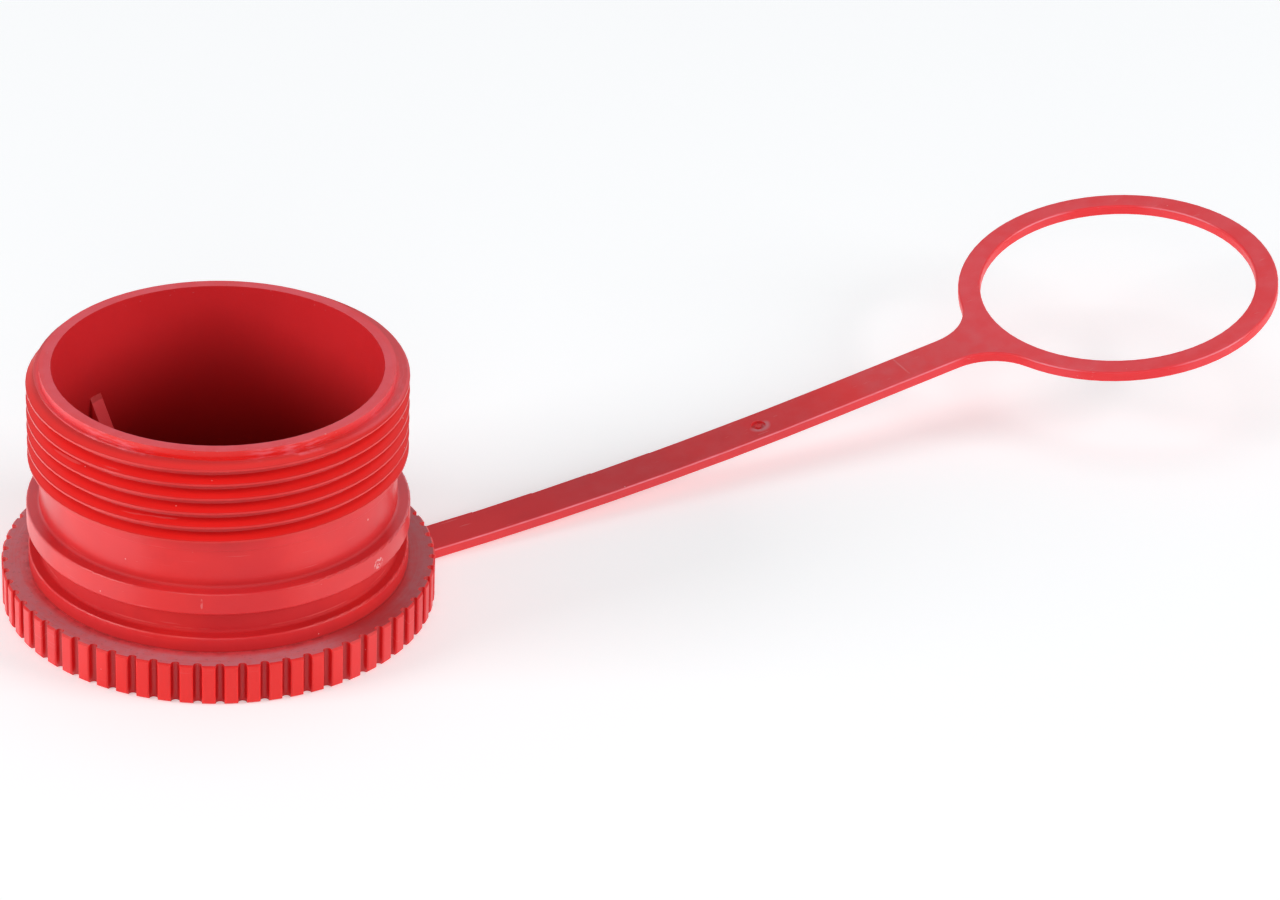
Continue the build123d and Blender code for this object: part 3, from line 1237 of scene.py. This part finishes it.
@dataclass
class Studio:
    """Pale floor, softboxes and surroundings, with lengths in metres.

    The lift brightens the floor for the camera and the glow brightens it as light. The floor fades to white
    between the two fade radii.
    """

    camera: ViewCamera
    floor_size: float = 12.0
    floor_gap: float = 0.00005
    floor_tone: Rgb = (0.86, 0.86, 0.87)
    floor_lift: float = 0.37
    floor_glow: float = 0.30
    fade_start: float = 0.22
    fade_end: float = 0.50
    sky: Rgb = (0.90, 0.97, 1.00)
    surroundings: float = 0.25
    reflected: float = 0.50
    glares: tuple[Glare, ...] = (
        Glare(-28.0, -46.0, -130.0, 1.15, 0.35),
        Glare(26.0, 40.0, 100.0, 0.65, 0.25),
    )
    softboxes: tuple[Softbox, ...] = (
        Softbox("left_softbox", -75.0, 24.0, 1.2, 0.55, 7.1),
        Softbox("right_softbox", 75.0, 24.0, 1.2, 0.55, 6.0),
        Softbox("front_softbox", 0.0, 25.0, 1.3, 0.60, 2.5),
        Softbox("top_softbox", 170.0, 70.0, 1.2, 0.70, 1.4),
    )

    def build(self) -> None:
        """Build all of the studio and set how colours are shown."""
        self.floor()
        for softbox in self.softboxes:
            self.lamp(softbox)
        self.world()
        bpy.context.scene.view_settings.view_transform = "Standard"

    def floor(self) -> None:
        """Wide pale floor just under the cap's base."""
        bpy.ops.object.select_all(action="DESELECT")
        bpy.ops.mesh.primitive_plane_add(size=self.floor_size, location=(0, 0, -self.floor_gap))
        floor = bpy.context.active_object
        floor.name = "floor"
        bpy.ops.object.transform_apply(location=True, rotation=True, scale=True)
        floor.data.materials.append(self.floor_material())
        floor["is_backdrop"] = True
        LOG.info("floor: %.0f m wide", self.floor_size)

    def floor_material(self) -> bpy.types.Material:
        """Matt pale surface, lifted to white for the camera, that keeps the cap's shadow.

        Returns:
            The floor's material.
        """
        material = bpy.data.materials.new("pale_floor")
        sheet = NodeSheet(material)
        path = sheet.node("ShaderNodeLightPath")
        place = sheet.node("ShaderNodeTexCoord").outputs["Object"]
        seen = path.outputs["Is Camera Ray"]
        reflected = sheet.both(path.outputs["Is Glossy Ray"], self.glare(sheet, place))
        glow = sheet.plus(
            sheet.both(seen, self.floor_lift),
            sheet.both(sheet.rest(seen), sheet.plus(self.floor_glow, reflected)))
        matt = sheet.node("ShaderNodeBsdfDiffuse")
        sheet.put(matt.inputs["Color"], self.floor_tone)
        lift = sheet.node("ShaderNodeEmission")
        sheet.put(lift.inputs["Color"], sheet.paint(self.sky, WHITE, seen))
        sheet.put(lift.inputs["Strength"], glow)
        near = sheet.node("ShaderNodeAddShader")
        sheet.put(near.inputs[0], matt.outputs[0])
        sheet.put(near.inputs[1], lift.outputs[0])
        white = sheet.node("ShaderNodeEmission")
        sheet.put(white.inputs["Strength"], 1.0)
        away = sheet.vector("LENGTH", place).outputs["Value"]
        shown = sheet.node("ShaderNodeMixShader")
        sheet.put(shown.inputs[0], sheet.both(sheet.step(away, self.fade_start, self.fade_end), seen))
        sheet.put(shown.inputs[1], near.outputs[0])
        sheet.put(shown.inputs[2], white.outputs[0])
        out = sheet.node("ShaderNodeOutputMaterial")
        sheet.put(out.inputs["Surface"], shown.outputs[0])
        return material

    def glare(self, sheet: NodeSheet, place: Socket) -> Input:
        """Extra brightness of the floor in reflections, by its bearing round the cap.

        Args:
            sheet: The floor's nodes.
            place: Coordinates on the floor.

        Returns:
            The brightness that is added.
        """
        split = sheet.node("ShaderNodeSeparateXYZ")
        turned = sheet.node("ShaderNodeVectorRotate", rotation_type="Z_AXIS")
        sheet.put(turned.inputs["Vector"], place)
        sheet.put(turned.inputs["Angle"], math.radians(-self.camera.bearing))
        sheet.put(split.inputs[0], turned.outputs[0])
        bearing = sheet.math("ARCTAN2", split.outputs[1], split.outputs[0])
        total: Input = 0.0
        for glare in self.glares:
            start, full, end = (math.radians(angle) for angle in (glare.start, glare.full, glare.end))
            rise = sheet.step(bearing, start, full, glare.strength)
            fall = sheet.rest(sheet.step(bearing, full, end, 1.0 - glare.kept))
            total = sheet.plus(total, sheet.both(rise, fall))
        return total

    def lamp(self, softbox: Softbox) -> None:
        """Hang one softbox, aimed at the middle of the cap's base.

        Args:
            softbox: The lamp's name, place, width and power.
        """
        data = bpy.data.lights.new(softbox.name, "AREA")
        data.shape = "SQUARE"
        data.size = softbox.width
        data.energy = softbox.power
        lamp = bpy.data.objects.new(softbox.name, data)
        bpy.context.scene.collection.objects.link(lamp)
        bearing, rise = math.radians(self.camera.bearing + softbox.bearing), math.radians(softbox.rise)
        level, height = softbox.distance * math.cos(rise), softbox.distance * math.sin(rise)
        place = Vector((level * math.cos(bearing), level * math.sin(bearing), height))
        turn = place.to_track_quat("Z", "Y")
        lamp.matrix_world = Matrix.Translation(place) @ turn.to_matrix().to_4x4()
        lamp.visible_camera = False
        LOG.info("%s: %.1f W", softbox.name, softbox.power)

    def world(self) -> None:
        """White surroundings for the camera, dimmer as light and in reflections."""
        world = bpy.data.worlds.new("studio")
        bpy.context.scene.world = world
        sheet = NodeSheet(world)
        path = sheet.node("ShaderNodeLightPath")
        seen = sheet.either(path.outputs["Is Camera Ray"], path.outputs["Is Transmission Ray"])
        strength = sheet.plus(
            self.surroundings, sheet.both(seen, 1.0 - self.surroundings),
            sheet.both(path.outputs["Is Glossy Ray"], self.reflected - self.surroundings))
        background = sheet.node("ShaderNodeBackground")
        sheet.put(background.inputs["Color"], sheet.paint(self.sky, WHITE, seen))
        sheet.put(background.inputs["Strength"], strength)
        out = sheet.node("ShaderNodeOutputWorld")
        sheet.put(out.inputs["Surface"], background.outputs[0])


@dataclass
class SizeLog:
    """Keeps the CAD box."""

    cad_box: Sequence[Sequence[float]] = field(default_factory=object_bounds)

    def write(self) -> None:
        """Log one fixed line."""
        LOG.info("sizes written")


def main() -> None:
    """Dress the cap and build the studio round it."""
    sizes = SizeLog()
    ProtectionCap().build()
    camera = ViewCamera()
    camera.build()
    Studio(camera).build()
    sizes.write()


if __name__ == "__main__":
    logging.basicConfig(level=logging.INFO, format="%(name)s: %(message)s")
    main()
